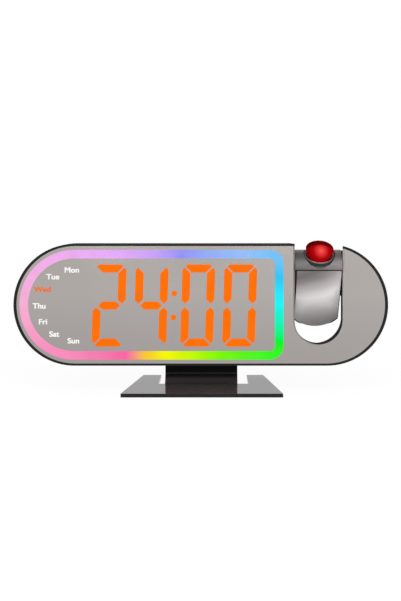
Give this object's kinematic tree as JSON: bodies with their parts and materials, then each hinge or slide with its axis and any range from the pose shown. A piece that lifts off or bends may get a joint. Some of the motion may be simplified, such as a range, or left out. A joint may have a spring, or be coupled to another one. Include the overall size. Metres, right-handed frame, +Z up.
{
  "type": "projection alarm clock",
  "caption": "Pill-shaped mirror alarm clock on a bent sheet stand, with a light ring, seven-segment digits and a tilting projector hinged in a slot.",
  "frame": {"origin": "on the table, under the middle of the body's width and depth", "axes": "+X to the right as one faces the display, +Y from the display to the back, +Z up"},
  "size_m": [0.2, 0.0566, 0.0806],
  "materials": {
    "black_shell": "fine satin moulding",
    "mirror_film": "grey half-mirror behind gloss",
    "ring_diffuser": "lit colour diffuser",
    "digit_diffuser": "lit orange diffuser",
    "white_plastic": "matt white",
    "circuit_board": "solder mask",
    "light_chip": "phosphor",
    "steel": "bright",
    "black_steel": "black finish",
    "chip_black": "matt",
    "brass": "turned",
    "lead_red": "insulation",
    "stand_lacquer": "glossy black lacquer",
    "rubber_black": "matt",
    "key_black": "satin",
    "gunmetal": "satin gunmetal",
    "black_gloss": "gloss",
    "face_mirror": "mirror plate",
    "ring_metal": "satin",
    "lcd_glass": "dark",
    "clear_glass": "polished",
    "red_lens": "polished deep red"
  },
  "bodies": {
    "housing": {"front_frame": "black_shell", "rear_cover": "black_shell", "mirror_border": "mirror_film", "mirror_panel": "mirror_film", "light_ring": "ring_diffuser", "digit_1": "digit_diffuser", "digit_2": "digit_diffuser", "colon_dots": "digit_diffuser", "digit_3": "digit_diffuser", "digit_4": "digit_diffuser", "weekday_lightguides": "white_plastic", "display_reflector": "white_plastic", "display_board": "circuit_board", "display_leds": "light_chip", "display_screws": "steel", "main_board": "circuit_board", "processor_chip": "chip_black", "clock_crystal": "steel", "board_header": "chip_black", "main_board_screws": "steel", "buzzer": "chip_black", "usb_c_socket": "steel", "usb_c_tongue": "chip_black", "coin_cell": "steel", "battery_contacts": "brass", "button_switches": "chip_black", "snooze_switch": "chip_black", "cover_screws": "steel", "lead_tail": "lead_red", "stand": "stand_lacquer", "stand_screws": "black_steel", "foot_pads": "rubber_black", "hinge_bushes": "brass", "friction_washers": "steel"},
    "projector": {"projector_head": "gunmetal", "projector_arm_front": "black_gloss", "projector_arm_rear": "black_gloss", "projector_faceplate": "face_mirror", "projector_screws": "black_steel", "hinge_pins": "steel", "hinge_clips": "black_steel", "lcd_shutter": "lcd_glass", "condenser_lens": "clear_glass", "light_tunnel": "chip_black", "projector_led": "light_chip", "projector_board": "circuit_board", "projector_lead": "lead_red"},
    "focus_ring": {"focus_ring": "ring_metal", "focus_grip": "rubber_black"},
    "lens": {"lens_barrel": "chip_black", "projector_lens": "red_lens"},
    "battery_door": {"battery_door": "black_shell"},
    "snooze_button": {"snooze_button": "key_black"},
    "mode_button": {"mode_button": "key_black"},
    "alarm_button": {"alarm_button": "key_black"},
    "down_button": {"down_button": "key_black"},
    "up_button": {"up_button": "key_black"},
    "light_button": {"light_button": "key_black"},
    "projection_button": {"projection_button": "key_black"}
  },
  "joints": [
    {"name": "projector_tilt", "type": "hinge", "parent": "housing", "child": "projector", "pos_m": [0.063, -0.0005, 0.0661], "axis": [1, 0, 0], "range_deg": [-125, 55]},
    {"name": "focus_turn", "type": "hinge", "parent": "projector", "child": "focus_ring", "pos_m": [0.0637, -0.0005, 0.0661], "axis": [0, -0.5736, 0.8192], "range_deg": [-90, 90]},
    {"name": "lens_focus", "type": "slide", "parent": "projector", "child": "lens", "axis": [0, -0.5736, 0.8192], "range_m": [-0.0006, 0.0006]},
    {"name": "battery_door_turn", "type": "hinge", "parent": "housing", "child": "battery_door", "pos_m": [-0.068, 0.009, 0.0465], "axis": [0, 1, 0], "range_deg": [0, 60]},
    {"name": "snooze_press", "type": "slide", "parent": "housing", "child": "snooze_button", "axis": [0, 0, -1], "range_m": [0, 0.0006], "stiffness_N_per_m": 400, "springref_m": -0.0005},
    {"name": "mode_press", "type": "slide", "parent": "housing", "child": "mode_button", "axis": [0, -1, 0], "range_m": [0, 0.0006], "stiffness_N_per_m": 400, "springref_m": -0.0005},
    {"name": "alarm_press", "type": "slide", "parent": "housing", "child": "alarm_button", "axis": [0, -1, 0], "range_m": [0, 0.0006], "stiffness_N_per_m": 400, "springref_m": -0.0005},
    {"name": "down_press", "type": "slide", "parent": "housing", "child": "down_button", "axis": [0, -1, 0], "range_m": [0, 0.0006], "stiffness_N_per_m": 400, "springref_m": -0.0005},
    {"name": "up_press", "type": "slide", "parent": "housing", "child": "up_button", "axis": [0, -1, 0], "range_m": [0, 0.0006], "stiffness_N_per_m": 400, "springref_m": -0.0005},
    {"name": "light_press", "type": "slide", "parent": "housing", "child": "light_button", "axis": [0, -1, 0], "range_m": [0, 0.0006], "stiffness_N_per_m": 400, "springref_m": -0.0005},
    {"name": "projection_press", "type": "slide", "parent": "housing", "child": "projection_button", "axis": [0, -1, 0], "range_m": [0, 0.0006], "stiffness_N_per_m": 400, "springref_m": -0.0005}
  ],
  "couplings": [
    {"joint": "focus_turn", "follows": "lens_focus", "rad_per_m": 2617.9}
  ]
}
